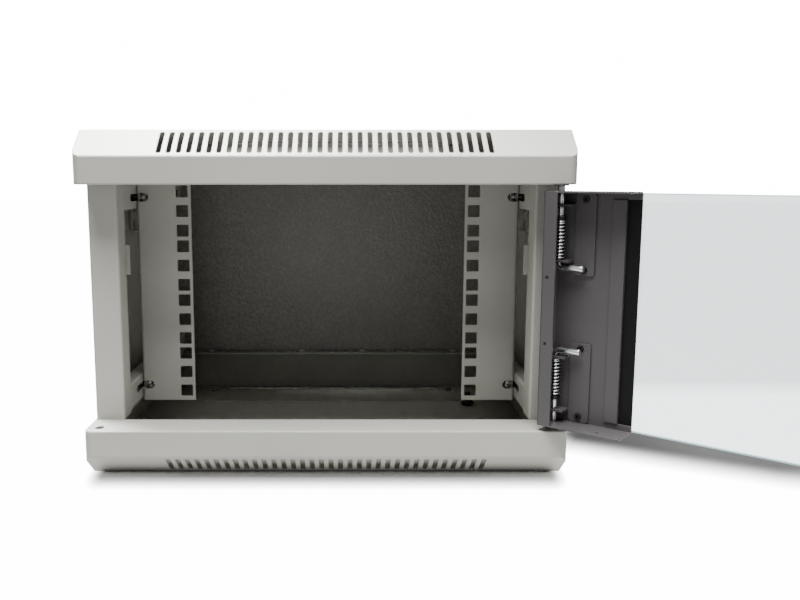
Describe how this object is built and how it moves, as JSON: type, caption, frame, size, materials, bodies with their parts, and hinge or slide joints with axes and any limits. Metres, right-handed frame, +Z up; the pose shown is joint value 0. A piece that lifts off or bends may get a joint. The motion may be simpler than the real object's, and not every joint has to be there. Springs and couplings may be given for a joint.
{
  "type": "wall mount network cabinet",
  "caption": "Small light grey wall mount rack cabinet with vented covers, adjustable rack rails and an open glass door on spring hinge pins",
  "frame": {"origin": "on the resting surface under the middle of the cabinet body, midway between its sides and between its front and its rear panel", "axes": "+Z up, +Y towards the wall, +X to the right when facing the door side"},
  "size_m": [0.6131, 0.5037, 0.256],
  "materials": {
    "light_grey_powder_coat": "fine textured powder coat",
    "dark_grey_powder_coat": "satin powder coat",
    "bright_plating": "polished",
    "zinc_steel": "zinc plated",
    "black_steel": "blackened steel",
    "black_tape": "matt foam tape",
    "clear_glass": "polished"
  },
  "bodies": {
    "cabinet": {"bottom_cover": "light_grey_powder_coat", "earth_nut": "black_steel", "earth_stud": "black_steel", "earth_washer": "black_steel", "entry_plate_bottom": "light_grey_powder_coat", "entry_plate_top": "light_grey_powder_coat", "entry_screws_bottom": "zinc_steel", "entry_screws_top": "zinc_steel", "hinge_bushings": "zinc_steel", "latch_rivets_left": "light_grey_powder_coat", "latch_rivets_right": "light_grey_powder_coat", "post_left": "light_grey_powder_coat", "post_right": "light_grey_powder_coat", "post_rivets": "light_grey_powder_coat", "rear_panel": "light_grey_powder_coat", "seam_rivets": "light_grey_powder_coat", "side_channel_lower_left": "light_grey_powder_coat", "side_channel_lower_right": "light_grey_powder_coat", "side_channel_upper_left": "light_grey_powder_coat", "side_channel_upper_right": "light_grey_powder_coat", "side_panel_left": "light_grey_powder_coat", "side_panel_right": "light_grey_powder_coat", "top_cover": "light_grey_powder_coat"},
    "door": {"door_hinge_profile": "dark_grey_powder_coat", "door_glass": "clear_glass", "hinge_side_tape": "black_tape", "door_lock_profile": "dark_grey_powder_coat", "lock_side_tape": "black_tape", "hinge_bracket_upper": "dark_grey_powder_coat", "hinge_bracket_lower": "dark_grey_powder_coat", "bracket_rivets": "dark_grey_powder_coat", "lock_barrel": "bright_plating", "lock_nut": "zinc_steel", "pin_spring_upper": "zinc_steel", "pin_spring_lower": "zinc_steel"},
    "upper_pin": {"hinge_pin_upper": "bright_plating", "pin_collar_upper": "zinc_steel"},
    "lower_pin": {"hinge_pin_lower": "bright_plating", "pin_collar_lower": "zinc_steel"},
    "lock_turning": {"lock_core": "bright_plating", "lock_cam": "zinc_steel", "lock_cam_screw": "zinc_steel"},
    "rail_left": {"rack_rail_left": "light_grey_powder_coat", "rail_screws_left": "black_steel", "rail_nuts_left": "zinc_steel"},
    "rail_right": {"rack_rail_right": "light_grey_powder_coat", "rail_screws_right": "black_steel", "rail_nuts_right": "zinc_steel"},
    "latch_left": {"panel_latch_left": "light_grey_powder_coat"},
    "latch_right": {"panel_latch_right": "light_grey_powder_coat"}
  },
  "joints": [
    {"name": "door_swing", "type": "hinge", "parent": "cabinet", "child": "door", "pos_m": [0.1675, -0.131, 0.128], "axis": [0, 0, 1], "range_deg": [-139.8, 50]},
    {"name": "upper_pin_slide", "type": "slide", "parent": "door", "child": "upper_pin", "axis": [0, 0, -1], "range_m": [0, 0.0095], "stiffness_N_per_m": 400, "springref_m": -0.006, "deforming": ["pin_spring_upper"]},
    {"name": "lower_pin_slide", "type": "slide", "parent": "door", "child": "lower_pin", "axis": [0, 0, 1], "range_m": [0, 0.0095], "stiffness_N_per_m": 400, "springref_m": -0.006, "deforming": ["pin_spring_lower"]},
    {"name": "lock_turn", "type": "hinge", "parent": "door", "child": "lock_turning", "pos_m": [0.39855, -0.32625, 0.1593], "axis": [0.6455, 0.7638, 0], "range_deg": [0, 90]},
    {"name": "rail_left_slide", "type": "slide", "parent": "cabinet", "child": "rail_left", "axis": [0, 1, 0], "range_m": [-0.025, 0.14]},
    {"name": "rail_right_slide", "type": "slide", "parent": "cabinet", "child": "rail_right", "axis": [0, 1, 0], "range_m": [-0.025, 0.14]},
    {"name": "latch_left_slide", "type": "slide", "parent": "cabinet", "child": "latch_left", "axis": [0, 0, -1], "range_m": [0, 0.007]},
    {"name": "latch_right_slide", "type": "slide", "parent": "cabinet", "child": "latch_right", "axis": [0, 0, -1], "range_m": [0, 0.007]}
  ]
}
